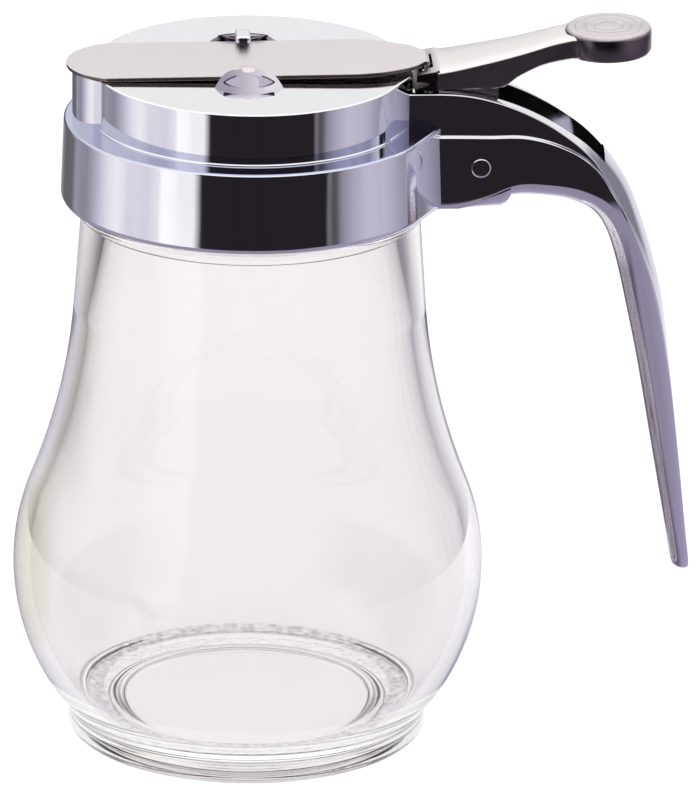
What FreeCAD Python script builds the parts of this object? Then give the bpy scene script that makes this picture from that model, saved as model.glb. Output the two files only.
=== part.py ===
import FreeCAD, Part
import os
from math import acos, asin, cos, radians, sin, sqrt, tan

from FreeCAD import Placement, Rotation, Vector

# A glass syrup dispenser. The jar stands on Z = 0 with its axis on Z; the pouring lobe points to -X and
# the handle to +X. All sizes are in millimetres.

os.makedirs("parts", exist_ok=True)
doc = FreeCAD.newDocument("SyrupDispenser")
sheet = doc.addObject("Spreadsheet::Sheet", "Sizes")


def addSizes(rows):
    for name, value in rows:
        row = addSizes.nextRow
        sheet.set(f"A{row}", name)
        sheet.set(f"B{row}", str(value))
        sheet.setAlias(f"B{row}", name)
        addSizes.nextRow = row + 1


addSizes.nextRow = 1

# The jar: a foot band, a round bulge, a long waist and a threaded neck.
addSizes([
    ("jarFootInset", 8.5), ("jarFootHeight", 2.6), ("jarFootRounding", 1.5), ("jarFootRing", 6.1),
    ("jarHeelRise", 2.1), ("jarHeelStep", 0.5), ("jarBulgeCurve", 34.5),
    ("jarWaistCurve", 97.0), ("jarWaistSlope", 21.8), ("jarShoulderSlope", 4.2),
    ("jarWall", 2.6), ("jarFloor", 3.2), ("jarCoveRise", 2.2), ("jarPushUp", 2.4),
    ("neckRootRadius", 24.4), ("neckStep", 1.33), ("neckGap", 0.8), ("neckLipRounding", 0.8),
    ("neckBeadRise", 0.7), ("neckBeadHeight", 1.7), ("neckFlareLength", 2.0),
])

# The screw joint between the jar and the top. The collar's ridge lies under the neck's by threadOffset.
addSizes([
    ("threadPitch", 4.2), ("threadDepth", 1.35), ("threadRoot", 1.5), ("threadCrest", 0.8),
    ("threadTurns", 1.2), ("threadClearance", 0.75), ("threadOffset", 1.2), ("threadStart", 3.8),
    ("threadSink", 0.4), ("gasketThickness", 1.2), ("gasketWidth", 3.6),
])

# The top casting: collar, ledge, drum, pouring lobe and disc.
addSizes([
    ("collarBottom", 86.0), ("collarHeight", 12.8), ("collarWall", 2.0), ("collarFlare", 0.5),
    ("collarEdge", 1.1), ("ledgeWidth", 4.2), ("ledgeEdge", 0.5), ("plateThickness", 2.0),
    ("drumHeight", 8.1), ("drumWall", 1.9), ("drumEdge", 0.3), ("flatAngle", 26.0),
    ("lobeMargin", 0.45), ("lobeOverhang", 3.0), ("pourHoleRadius", 6.0), ("pourHoleOverhang", 0.6),
    ("pourFloor", 1.4),
    ("bossLength", 10.4), ("bossWidth", 4.4), ("bossNibWidth", 2.6), ("bossNibThickness", 0.6),
    ("bossNibReach", 1.2), ("bossNibPlay", 0.55), ("bossCap", 0.1),
])

# The handle: two cheeks with the lever's slot between them, and one curved tail. Its places along X are
# measured from the drum's wall, and its heights from the rim.
addSizes([
    ("cheekHalfWidth", 6.4), ("cheekProud", 0.9), ("slotHalfWidth", 4.45), ("slotEnd", 29.5),
    ("slotFloorDrop", 13.4), ("slotFrontGap", 0.2), ("rimDrop", 2.9), ("stepDrop", 6.5), ("backCrown", 2.0),
    ("tailHalfWidth", 4.7), ("bendDrop", 33.0), ("handleDrop", 78.0), ("tailEnd", 1.2),
    ("tabWall", 1.0), ("tabHalfWidth", 5.6), ("tabHeight", 4.0), ("tabRounding", 1.6),
])

# The pivot pin, the thumb lever, the spring and the gate. Places along X are measured from the drum's
# wall or from the pivot, and heights from the disc or from the pivot.
addSizes([
    ("pivotReach", 10.4), ("pivotDrop", 14.4), ("pinRadius", 1.55), ("pinFit", 0.02), ("leverFit", 0.06),
    ("leverFrontGap", 0.4), ("leverFrontHalfWidth", 6.0), ("leverMidReach", 11.7),
    ("leverMidHalfWidth", 5.1), ("leverNeckReach", 23.0), ("leverNeckHalfWidth", 4.05),
    ("padReach", 29.9), ("padRadius", 6.6), ("padRise", 6.0), ("padThickness", 3.7),
    ("grooveDepth", 0.25), ("grooveWidth", 0.3),
    ("leverSkin", 1.5), ("leverRimGap", 0.5), ("ledgeReach", 3.4), ("ledgeFrontDrop", 2.4),
    ("ledgeBackDrop", 1.3), ("eyeWall", 1.65), ("eyeClearance", 0.6), ("eyeFloorGap", 0.9),
    ("legSideGap", 0.35), ("legThickness", 1.5), ("legFront", 6.7), ("legBack", 2.7),
    ("springRadius", 1.5), ("springWire", 0.5), ("springDrop", 5.1), ("springCoils", 9.5),
    ("springGap", 0.05), ("springSpan", 5.9), ("lugWidth", 1.0), ("crossbarThickness", 1.4),
    ("crossbarHeight", 3.6), ("crossbarSideGap", 0.3),
    ("gateHalfWidth", 8.45), ("gateThickness", 0.55), ("gateLift", 0.12), ("gateTilt", 0.7),
    ("gateOverhang", 0.9), ("gateNeck", 7.1), ("tongueReach", 2.2), ("tongueHalfWidth", 2.9),
    ("tongueDrop", 2.9), ("tongueGap", 0.85), ("tongueSideGap", 0.35), ("gateSideGap", 0.3),
])
doc.recompute()


def size(name):
    return float(sheet.get(name))


def bind(feature, **expressions):
    for prop, words in expressions.items():
        feature.setExpression(prop.replace("__", "."), words)
    return feature


def addShape(name, shape):
    feature = doc.addObject("Part::Feature", name)
    feature.Label = name
    feature.Shape = shape
    return feature


def closedFace(edges):
    return Part.Face(Part.Wire(Part.__sortEdges__(edges)))


def line(start, end):
    return Part.makeLine(Vector(*start), Vector(*end))


def arc(start, middle, end):
    return Part.Arc(Vector(*start), Vector(*middle), Vector(*end)).toShape()


def smooth(points):
    curve = Part.BSplineCurve()
    curve.interpolate([Vector(*point) for point in points])
    return curve.toShape()


def polygonFace(points):
    vectors = [Vector(*point) for point in points]
    return Part.Face(Part.makePolygon(vectors + vectors[:1]))


def acrossHandle(face, halfWidth):
    # A face drawn in the XZ plane, made solid to both sides of it.
    return face.translated(Vector(0, -halfWidth, 0)).extrude(Vector(0, 2 * halfWidth, 0))


def ring(outer, inner, bottom, height):
    tube = Part.makeCylinder(outer, height, Vector(0, 0, bottom))
    return tube.cut(Part.makeCylinder(inner, height, Vector(0, 0, bottom)))


# ---- Heights and radii that several pieces share ----
ledgeHeight = size("collarBottom") + size("collarHeight")
discHeight = ledgeHeight + size("drumHeight")
rimHeight = discHeight - size("rimDrop")
seatHeight = ledgeHeight - size("plateThickness")
lipHeight = seatHeight - size("gasketThickness")
neckRoot = size("neckRootRadius")
neckBottom = size("collarBottom") - size("neckGap")
neckThreadBottom = neckBottom + size("threadStart")
collarBore = neckRoot + size("threadDepth") + size("threadClearance")
collarTopRadius = collarBore + size("collarWall")
drumRadius = collarTopRadius - size("ledgeWidth")
drumBore = drumRadius - size("drumWall")
lobeRadius = size("gateHalfWidth") + size("lobeMargin")
lobeReach = drumRadius + size("lobeOverhang")
cheekHalf = size("cheekHalfWidth")
proudHalf = cheekHalf + size("cheekProud")
pivotX = drumRadius + size("pivotReach")
pivotZ = discHeight - size("pivotDrop")
eyeRadius = size("pinRadius") + size("eyeWall")
eyeEnd = pivotX + eyeRadius + size("eyeClearance")
tabX = eyeEnd + size("tabWall")
leverFront = drumRadius + size("leverFrontGap")
tongueX = leverFront + size("tongueReach")
springHeight = discHeight - size("springDrop")
farAway = 200.0     # longer than any piece, for cutting tools


# ---- Jar ----
# The bulge and the waist are two arcs that share the waist's slope. The foot sets how high the bulge
# lies, and the neck sets how far out both are.
bulgeCurve = size("jarBulgeCurve")
waistSlope = radians(size("jarWaistSlope"))
endSlope = radians(size("jarShoulderSlope"))
heelX = bulgeCurve - size("jarFootInset") + size("jarHeelStep")
bulgeZ = size("jarFootHeight") + size("jarHeelRise") + sqrt(bulgeCurve ** 2 - heelX ** 2)
waistReach = bulgeCurve + size("jarWaistCurve")
waistZ = bulgeZ + waistReach * sin(waistSlope)
shoulderZ = waistZ - size("jarWaistCurve") * sin(endSlope)
neckX = neckRoot + size("neckStep")
shoulderX = neckX + (neckBottom - shoulderZ) * tan(endSlope)
waistX = shoulderX + size("jarWaistCurve") * cos(endSlope)
bulgeX = waistX - waistReach * cos(waistSlope)
footRadius = bulgeX + bulgeCurve - size("jarFootInset")


def onBulge(angle, inset):
    radius = bulgeCurve - inset
    return (bulgeX + radius * cos(angle), 0, bulgeZ + radius * sin(angle))


def onWaist(angle, inset):
    radius = size("jarWaistCurve") + inset
    return (waistX - radius * cos(angle), 0, waistZ - radius * sin(angle))


def jarSide(start, inset):
    # The bulge from a low angle up to the waist's slope, then the waist up to the shoulder.
    return [
        arc(onBulge(start, inset), onBulge(0, inset), onBulge(waistSlope, inset)),
        arc(onBulge(waistSlope, inset), onWaist((waistSlope + endSlope) / 2, inset),
            onWaist(endSlope, inset)),
    ]


def makeJar():
    footTop = size("jarFootHeight")
    rounding = size("jarFootRounding")
    heel = -acos(heelX / bulgeCurve)
    beadBottom = neckBottom - size("neckBeadHeight")
    underBead = (neckX + size("neckBeadHeight") * tan(endSlope), 0, beadBottom)
    bead = (neckX + size("neckBeadRise"), 0, (beadBottom + neckBottom) / 2)
    pushUp = size("jarPushUp")
    ringX = footRadius - size("jarFootRing")
    lip = size("neckLipRounding")
    heelMiddle = (footRadius - (1 - sqrt(0.5)) * rounding, 0, (1 - sqrt(0.5)) * rounding)
    lipMiddle = (neckRoot - (1 - sqrt(0.5)) * lip, 0, lipHeight - (1 - sqrt(0.5)) * lip)
    outer = [
        line((0, 0, pushUp), (ringX - pushUp, 0, pushUp)),
        line((ringX - pushUp, 0, pushUp), (ringX, 0, 0)),
        line((ringX, 0, 0), (footRadius - rounding, 0, 0)),
        arc((footRadius - rounding, 0, 0), heelMiddle, (footRadius, 0, rounding)),
        line((footRadius, 0, rounding), (footRadius, 0, footTop)),
        line((footRadius, 0, footTop), onBulge(heel, 0)),
        *jarSide(heel, 0),
        line(onWaist(endSlope, 0), underBead),
        arc(underBead, bead, (neckRoot, 0, neckBottom)),
        line((neckRoot, 0, neckBottom), (neckRoot, 0, lipHeight - lip)),
        arc((neckRoot, 0, lipHeight - lip), lipMiddle, (neckRoot - lip, 0, lipHeight)),
        line((neckRoot - lip, 0, lipHeight), (0, 0, lipHeight)),
        line((0, 0, lipHeight), (0, 0, pushUp)),
    ]
    body = closedFace(outer).revolve(Vector(), Vector(0, 0, 1), 360)

    wall = size("jarWall")
    floor = pushUp + size("jarFloor")
    cove = size("jarCoveRise")
    mouth = neckRoot - wall
    flare = neckBottom - size("neckFlareLength")
    innerHeel = asin((floor + cove - bulgeZ) / (bulgeCurve - wall))
    corner = onBulge(innerHeel, wall)
    above = lipHeight + 1.0
    inner = [
        line((0, 0, floor), (corner[0] - 1.36 * cove, 0, floor)),
        arc((corner[0] - 1.36 * cove, 0, floor), (corner[0] - 0.5 * cove, 0, floor + 0.23 * cove), corner),
        *jarSide(innerHeel, wall),
        line(onWaist(endSlope, wall), (mouth, 0, flare)),
        line((mouth, 0, flare), (mouth, 0, above)),
        line((mouth, 0, above), (0, 0, above)),
        line((0, 0, above), (0, 0, floor)),
    ]
    cavity = closedFace(inner).revolve(Vector(), Vector(0, 0, 1), 360)
    return body.cut(cavity).fuse(threadRidge(neckRoot, 1, neckThreadBottom))


# ---- Screw thread, a right-hand ridge on the neck or in the collar ----
def threadRidge(wallRadius, outward, bottom):
    pitch = size("threadPitch")
    tip = wallRadius + size("threadDepth") * outward
    root = size("threadRoot") / 2
    crest = size("threadCrest") / 2
    sunk = wallRadius - size("threadSink") * outward
    helix = Part.Wire(Part.makeHelix(pitch, pitch * size("threadTurns"), wallRadius))
    profile = Part.makePolygon([
        Vector(sunk, 0, -root), Vector(sunk, 0, root), Vector(tip, 0, crest), Vector(tip, 0, -crest),
        Vector(sunk, 0, -root)])
    ridge = helix.makePipeShell([profile], True, True)
    return ridge.translated(Vector(0, 0, bottom))


# ---- Handle outlines in the XZ plane ----
def handleBlank():
    # Three side outlines, of which the middle one is crowned, joined into the whole width of the handle.
    inX = drumRadius - 4.0          # the root, well inside the drum's wall
    underZ = rimHeight - 16.6       # the underside of the cheeks
    tailZ = rimHeight - size("handleDrop")
    tailEnd = tailZ + size("tailEnd")
    bendZ = rimHeight - size("bendDrop")

    def tail(reach, share):
        # A point on the tail, from the bend (share 0) to the end (share 1).
        return (drumRadius + reach, bendZ + share * (tailEnd - bendZ))

    def shoulder(reach, drop):
        return (drumRadius + reach, rimHeight - drop)

    rim = [shoulder(5.9, 0), shoulder(16.2, 2.7), shoulder(22.3, 6.0), shoulder(27.1, 10.0),
           shoulder(30.6, 15.2), shoulder(34.6, 23.7), tail(37.7, 0), tail(40.2, 0.388), tail(41.9, 0.708),
           tail(43.6, 1)]
    crowns = [0, 0, 0.35, 0.75, 1.0, 0.8, 0.4, 0.15, 0.05, 0]
    inner = [tail(40.6, 1), tail(37.7, 0.596), tail(34.1, 0.148), shoulder(30.8, 24.9), shoulder(29.5, 20.8),
             shoulder(26.7, 18.0), shoulder(22.5, 16.7), shoulder(15.2, 16.0), shoulder(6.7, 16.6)]

    def wire(side, crown):
        outer = []
        for (x, z), share in zip(rim, crowns):
            outer.append((x + share * crown, side, z + 0.4 * share * crown))
        end = outer[-1]
        start = (inner[0][0], side, inner[0][1])
        middle = ((end[0] + start[0]) / 2, side, tailZ)
        return Part.Wire([
            line((inX, side, rimHeight), outer[0]),
            smooth(outer),
            arc(end, middle, start),
            smooth([(x, side, z) for x, z in inner]),
            line((inner[-1][0], side, underZ), (inX, side, underZ)),
            line((inX, side, underZ), (inX, side, rimHeight)),
        ])

    return Part.makeLoft([wire(-proudHalf, 0), wire(0, size("backCrown")), wire(proudHalf, 0)], True, False)


def makeHandle():
    inX = drumRadius - 4.0
    low = rimHeight - size("handleDrop") - 2.0
    tail = size("tailHalfWidth")
    bottom = size("collarBottom")
    blank = handleBlank()
    upper = Part.makeBox(farAway, 2 * cheekHalf, rimHeight, Vector(0, -cheekHalf, 0))
    stepZ = rimHeight - size("stepDrop")
    stepEnd = (drumRadius + 19.1, 0, stepZ)
    stepLow = (drumRadius + 29.3, 0, stepZ - 6.4)
    lower = acrossHandle(closedFace([
        line((inX, 0, stepZ), stepEnd),
        smooth([stepEnd, (drumRadius + 21.7, 0, stepZ - 1.1), (drumRadius + 26.2, 0, stepZ - 3.6), stepLow]),
        line(stepLow, (farAway, 0, stepZ - 6.4)),
        line((farAway, 0, stepZ - 6.4), (farAway, 0, low)),
        line((farAway, 0, low), (inX, 0, low)),
        line((inX, 0, low), (inX, 0, stepZ)),
    ]), proudHalf)
    above = rimHeight + 1.0
    front = polygonFace([
        (0, -tail, low), (0, tail, low), (0, proudHalf, bottom), (0, proudHalf, above),
        (0, -proudHalf, above), (0, -proudHalf, bottom)]).extrude(Vector(farAway, 0, 0))
    handle = blank.common(upper).fuse(blank.common(lower)).common(front)
    tab = Part.makeBox(tabX - inX, 2 * size("tabHalfWidth"), size("tabHeight"),
                       Vector(inX, -size("tabHalfWidth"), bottom))
    corner = [edge for edge in tab.Edges
              if abs(edge.CenterOfMass.x - tabX) < 1e-6 and abs(edge.CenterOfMass.z - bottom) < 1e-6]
    return handle.fuse(tab.makeFillet(size("tabRounding"), corner))


def slotShape():
    floor = rimHeight - size("slotFloorDrop")
    well = pivotZ - eyeRadius - size("eyeFloorGap")
    front = drumRadius
    back = drumRadius + size("slotEnd")
    rise = eyeEnd + 3.0
    fall = back - 3.3
    above = rimHeight + 2.0
    outline = closedFace([
        line((front, 0, above), (front, 0, well)),
        line((front, 0, well), (eyeEnd, 0, well)),
        line((eyeEnd, 0, well), (rise, 0, floor)),
        arc((rise, 0, floor), ((rise + fall) / 2, 0, floor - 0.5), (fall, 0, floor - 1.6)),
        line((fall, 0, floor - 1.6), (back, 0, floor + 1.5)),
        line((back, 0, floor + 1.5), (back, 0, above)),
        line((back, 0, above), (front, 0, above)),
    ])
    slot = acrossHandle(outline, size("slotHalfWidth"))
    return slot.cut(Part.makeCylinder(drumRadius + size("slotFrontGap"), farAway))


# ---- Top casting ----
def flankPrism(radius, halfWidth, bottom, height):
    """The straight flanks that leave a round wall as tangents and end where the cheeks begin."""
    angle = radians(size("flatAngle"))
    x = radius * cos(angle)
    y = radius * sin(angle)
    tipX = x + (y - halfWidth) * tan(angle)
    face = polygonFace([(0, -y, bottom), (x, -y, bottom), (tipX, -halfWidth, bottom),
                        (tipX, halfWidth, bottom), (x, y, bottom), (0, y, bottom)])
    return face.extrude(Vector(0, 0, height))


def makeBoss(side):
    """A lens-shaped boss beside the gate, with a nib that laps over the gate's edge."""
    length = size("bossLength")
    width = size("bossWidth")
    gateEdge = size("gateHalfWidth") + size("gateSideGap")
    radius = (length ** 2 / 4 + (width / 2) ** 2) / width
    centreY = gateEdge + width / 2
    gateRise = (lobeReach + size("gateOverhang")) * tan(radians(size("gateTilt")))
    gateTop = size("gateLift") + size("gateThickness") + gateRise
    height = gateTop + size("bossNibPlay") + size("bossNibThickness") + size("bossCap")
    one = Part.makeCylinder(radius, height, Vector(0, centreY + width / 2 - radius, discHeight))
    two = Part.makeCylinder(radius, height, Vector(0, centreY - width / 2 + radius, discHeight))
    domeRadius = (length ** 2 / 4 + height ** 2) / (2 * height)
    dome = Part.makeSphere(domeRadius, Vector(0, centreY, discHeight + height - domeRadius),
                           Vector(1, 0, 0))
    lens = one.common(two).common(dome)
    nibBottom = discHeight + height - size("bossNibThickness") - size("bossCap")
    nib = Part.makeBox(size("bossNibWidth"), size("bossNibReach") + width / 2, size("bossNibThickness"),
                       Vector(-size("bossNibWidth") / 2, gateEdge - size("bossNibReach"), nibBottom))
    boss = lens.fuse(nib)
    if side < 0:
        boss = boss.mirror(Vector(), Vector(0, 1, 0))
    return boss


def makeTop():
    bottom = size("collarBottom")
    outer = collarTopRadius + size("collarFlare")
    upper = collarTopRadius
    edge = size("collarEdge")
    shoulder = size("ledgeEdge")
    lip = size("drumEdge")
    profile = closedFace([
        line((0, 0, bottom), (outer - edge, 0, bottom)),
        arc((outer - edge, 0, bottom), (outer - 0.3 * edge, 0, bottom + 0.3 * edge),
            (outer, 0, bottom + edge)),
        line((outer, 0, bottom + edge), (upper, 0, ledgeHeight - shoulder)),
        arc((upper, 0, ledgeHeight - shoulder), (upper - 0.3 * shoulder, 0, ledgeHeight - 0.3 * shoulder),
            (upper - shoulder, 0, ledgeHeight)),
        line((upper - shoulder, 0, ledgeHeight), (drumRadius, 0, ledgeHeight)),
        line((drumRadius, 0, ledgeHeight), (drumRadius, 0, discHeight - lip)),
        arc((drumRadius, 0, discHeight - lip), (drumRadius - 0.3 * lip, 0, discHeight - 0.3 * lip),
            (drumRadius - lip, 0, discHeight)),
        line((drumRadius - lip, 0, discHeight), (0, 0, discHeight)),
        line((0, 0, discHeight), (0, 0, bottom)),
    ])
    top = profile.revolve(Vector(), Vector(0, 0, 1), 360)
    top = top.fuse(flankPrism(drumRadius, cheekHalf, ledgeHeight, size("drumHeight")))
    top = top.fuse(flankPrism(upper + 0.4 * size("collarFlare"), proudHalf, bottom, size("collarHeight")))
    lobeFoot = Vector(lobeRadius - lobeReach, 0, ledgeHeight)
    top = top.fuse(Part.makeCylinder(lobeRadius, size("drumHeight"), lobeFoot))
    top = top.fuse(makeHandle())

    cavity = Part.makeCylinder(collarBore, seatHeight - bottom, Vector(0, 0, bottom))
    cavity = cavity.fuse(Part.makeCylinder(
        drumBore, discHeight - size("plateThickness") - bottom, Vector(0, 0, bottom)))
    holeRadius = size("pourHoleRadius")
    holeX = holeRadius - drumRadius - size("pourHoleOverhang")
    hole = Part.makeCylinder(holeRadius, farAway, Vector(holeX, 0, ledgeHeight + size("pourFloor")))
    top = top.cut(cavity).cut(hole).cut(slotShape()).cut(pinBore(size("pinFit")))
    top = top.fuse(makeBoss(1)).fuse(makeBoss(-1)).fuse(springLug())
    return top.fuse(threadRidge(collarBore, -1, neckThreadBottom - size("threadOffset")))


def pinBore(clearance):
    return Part.makeCylinder(size("pinRadius") + clearance, farAway, Vector(pivotX, -farAway / 2, pivotZ),
                             Vector(0, 1, 0))


# ---- Spring ----
lugLength = 1.6
lugHeight = 1.4
lugEnd = drumRadius + 1.2
crossbarX = lugEnd + size("springSpan")


def springLug():
    # A small cast hook on the drum wall that holds the spring's fixed end.
    return Part.makeBox(lugLength, size("lugWidth"), lugHeight,
                        Vector(lugEnd - lugLength, -size("lugWidth") / 2, springHeight - lugHeight / 2))


def makeSpring():
    wireRadius = size("springWire") / 2
    radius = size("springRadius") - wireRadius
    start = lugEnd + wireRadius + size("springGap")
    length = crossbarX - start - wireRadius - size("springGap")
    turns = size("springCoils")
    helix = Part.Wire(Part.makeHelix(length / turns, length, radius))
    section = Part.Wire(Part.makeCircle(wireRadius, Vector(radius, 0, 0), Vector(0, 1, 0)))
    coil = helix.makePipeShell([section], True, True)
    coil.Placement = Placement(Vector(start, 0, springHeight), Rotation(Vector(0, 1, 0), 90))
    return coil


# ---- Thumb lever ----
padX = drumRadius + size("padReach")


def leverPlan(inset):
    # The lever seen from above, as a tall block: a tapering arm that runs into the round pad.
    stations = [(leverFront + inset, size("leverFrontHalfWidth")),
                (drumRadius + size("leverMidReach"), size("leverMidHalfWidth")),
                (drumRadius + size("leverNeckReach"), size("leverNeckHalfWidth"))]
    pad = size("padRadius") - inset
    neck = size("leverNeckHalfWidth") - inset
    stations.append((padX - sqrt(pad ** 2 - neck ** 2) + 1.0, size("leverNeckHalfWidth")))
    far = [(x, half - inset, 0) for x, half in stations]
    near = [(x, inset - half, 0) for x, half in reversed(stations)]
    arm = polygonFace(far + near).extrude(Vector(0, 0, farAway))
    return arm.fuse(Part.makeCylinder(pad, farAway, Vector(padX, 0, 0)))


def leverBlock(skirt):
    # The lever seen from the side, as a wide block, from its skirt's lower edge up to its back.
    end = padX + size("padRadius") + 1.0
    front = (leverFront, discHeight + 0.1)
    padTop = discHeight + size("padRise")
    padUnder = padTop - size("padThickness")

    def off(reach, rise):
        return (drumRadius + reach, discHeight + rise)

    back = [front, off(3.2, 0.65), off(10.4, 1.9), off(16.5, 3.3), off(23.3, 5.1), (padX, padTop),
            (end, padTop)]
    under = [(eyeEnd - 0.2, skirt), off(15.9, -0.8), off(19.3, 0.8), off(23.6, 2.0),
             (padX - 1.0, padUnder), (end, padUnder)]
    return acrossHandle(closedFace([
        smooth([(x, 0, z) for x, z in back]),
        line((end, 0, padTop), (end, 0, padUnder)),
        smooth([(x, 0, z) for x, z in under]),
        line((under[0][0], 0, skirt), (leverFront, 0, skirt)),
        line((leverFront, 0, skirt), (leverFront, 0, front[1])),
    ]), farAway / 2)


def leverLeg(legTop):
    front = pivotX - size("legFront")
    back = pivotX + size("legBack")
    face = closedFace([
        line((front, 0, legTop), (front, 0, pivotZ + 5.0)),
        line((front, 0, pivotZ + 5.0), (pivotX - eyeRadius, 0, pivotZ)),
        arc((pivotX - eyeRadius, 0, pivotZ), (pivotX, 0, pivotZ - eyeRadius),
            (pivotX + eyeRadius, 0, pivotZ)),
        line((pivotX + eyeRadius, 0, pivotZ), (back, 0, pivotZ + 3.5)),
        line((back, 0, pivotZ + 3.5), (back, 0, legTop)),
        line((back, 0, legTop), (front, 0, legTop)),
    ])
    return face.extrude(Vector(0, size("legThickness"), 0))


def makeLever():
    skirt = rimHeight + size("leverRimGap")
    skin = size("leverSkin")
    block = leverBlock(skirt)
    shell = block.common(leverPlan(0))
    hollow = block.translated(Vector(0, 0, -skin)).common(leverPlan(skin))
    ledgeX = drumRadius + size("ledgeReach")
    above = discHeight + 20.0
    ledgeFront = (leverFront - 1.0, 0, discHeight - size("ledgeFrontDrop"))
    ledge = polygonFace([(leverFront - 1.0, 0, above), ledgeFront,
                         (ledgeX, 0, discHeight - size("ledgeBackDrop")), (ledgeX, 0, above)])
    lever = shell.cut(hollow).cut(acrossHandle(ledge, farAway / 2))

    outerY = size("slotHalfWidth") - size("legSideGap")
    leg = leverLeg(skirt + 3.0)
    near = leg.translated(Vector(0, -outerY, 0))
    far = leg.translated(Vector(0, outerY - size("legThickness"), 0))
    barHalf = outerY - size("crossbarSideGap")
    crossbar = Part.makeBox(size("crossbarThickness"), 2 * barHalf, size("crossbarHeight"),
                            Vector(crossbarX, -barHalf, springHeight - size("crossbarHeight") / 2))
    slotHalf = size("tongueHalfWidth") + size("tongueSideGap")
    slotX = tongueX - size("gateThickness") - size("tongueGap")
    slot = Part.makeBox(size("gateThickness") + 2 * size("tongueGap"), 2 * slotHalf, 8.0,
                        Vector(slotX, -slotHalf, skirt))
    lever = lever.fuse(near).fuse(far).fuse(crossbar)
    return lever.cut(pinBore(size("leverFit"))).cut(slot).cut(grooves())


def grooves():
    # Shallow rings on the thumb pad.
    bottom = discHeight + size("padRise") - size("grooveDepth")
    half = size("grooveWidth") / 2
    rings = []
    for share in (0.32, 0.53, 0.77):
        radius = share * size("padRadius")
        rings.append(ring(radius + half, radius - half, bottom, 2.0))
    return rings[0].fuse(rings[1:]).translated(Vector(padX, 0, 0))


# ---- Gate ----
def makeGate():
    half = size("gateHalfWidth")
    tip = -lobeReach - size("gateOverhang")
    reach = lobeRadius - sqrt(lobeRadius ** 2 - half ** 2)
    shoulder = tongueX - size("gateNeck")
    tongue = size("tongueHalfWidth")
    bend = tongueX - 0.38 * size("gateNeck")
    straight = shoulder - 4.0
    tongueRoot = tongueX - 0.8
    thickness = size("gateThickness")
    neck = [(straight, half), (shoulder, 0.9 * half), (bend, 0.62 * half), (tongueRoot, tongue)]
    outline = closedFace([
        arc((tip + reach, half, 0), (tip, 0, 0), (tip + reach, -half, 0)),
        line((tip + reach, -half, 0), (straight, -half, 0)),
        smooth([(x, -y, 0) for x, y in neck]),
        line((tongueRoot, -tongue, 0), (tongueX, -tongue, 0)),
        line((tongueX, -tongue, 0), (tongueX, tongue, 0)),
        line((tongueX, tongue, 0), (tongueRoot, tongue, 0)),
        smooth([(x, y, 0) for x, y in neck[::-1]]),
        line((straight, half, 0), (tip + reach, half, 0)),
    ])
    plate = outline.extrude(Vector(0, 0, thickness))
    hook = Part.makeBox(thickness, 2 * tongue, size("tongueDrop"),
                        Vector(tongueX - thickness, -tongue, thickness - size("tongueDrop")))
    gate = plate.fuse(hook)
    gate.rotate(Vector(tip, 0, 0), Vector(0, 1, 0), -size("gateTilt"))
    return gate.translated(Vector(0, 0, discHeight + size("gateLift")))


# ---- The pieces ----
addShape("glass_jar", makeJar())
addShape("top_casting", makeTop())
addShape("thumb_lever", makeLever())
addShape("gate_plate", makeGate())
addShape("return_spring", makeSpring())

drumWords = ("Sizes.neckRootRadius + Sizes.threadDepth + Sizes.threadClearance + Sizes.collarWall"
             " - Sizes.ledgeWidth")
ledgeWords = "Sizes.collarBottom + Sizes.collarHeight"
pin = doc.addObject("Part::Cylinder", "pivot_pin")
bind(pin, Radius="Sizes.pinRadius", Height="2 * (Sizes.cheekHalfWidth + Sizes.cheekProud)")
pin.Placement = Placement(Vector(pivotX, 0, pivotZ), Rotation(Vector(1, 0, 0), -90))
bind(pin, Placement__Base__x=drumWords + " + Sizes.pivotReach",
     Placement__Base__y="-Sizes.cheekHalfWidth - Sizes.cheekProud",
     Placement__Base__z=ledgeWords + " + Sizes.drumHeight - Sizes.pivotDrop")

sealOuter = doc.addObject("Part::Cylinder", "sealOuter")
bind(sealOuter, Radius="Sizes.neckRootRadius", Height="Sizes.gasketThickness")
sealInner = doc.addObject("Part::Cylinder", "sealInner")
bind(sealInner, Radius="Sizes.neckRootRadius - Sizes.gasketWidth", Height="Sizes.gasketThickness")
gasket = doc.addObject("Part::Cut", "neck_gasket")
gasket.Base = sealOuter
gasket.Tool = sealInner
bind(gasket, Placement__Base__z=ledgeWords + " - Sizes.plateThickness - Sizes.gasketThickness")

doc.recompute()
nodes = ["glass_jar", "neck_gasket", "top_casting", "pivot_pin", "thumb_lever", "gate_plate",
         "return_spring"]
for item in doc.Objects:
    if "Invalid" in item.State or "Error" in item.State:
        raise RuntimeError(f"{item.Label} did not build")
for name in nodes:
    shape = doc.getObject(name).Shape
    if shape.isNull() or not shape.isValid():
        raise RuntimeError(f"{name} has no valid shape")
    print(name, "solids", len(shape.Solids), "volume", round(shape.Volume, 1))
    shape.exportStep(f"parts/{name}.step")
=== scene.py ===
from math import acos, asin, cos, pi, radians, sin, sqrt

import bmesh
import bpy
from mathutils import Matrix, Vector


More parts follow.
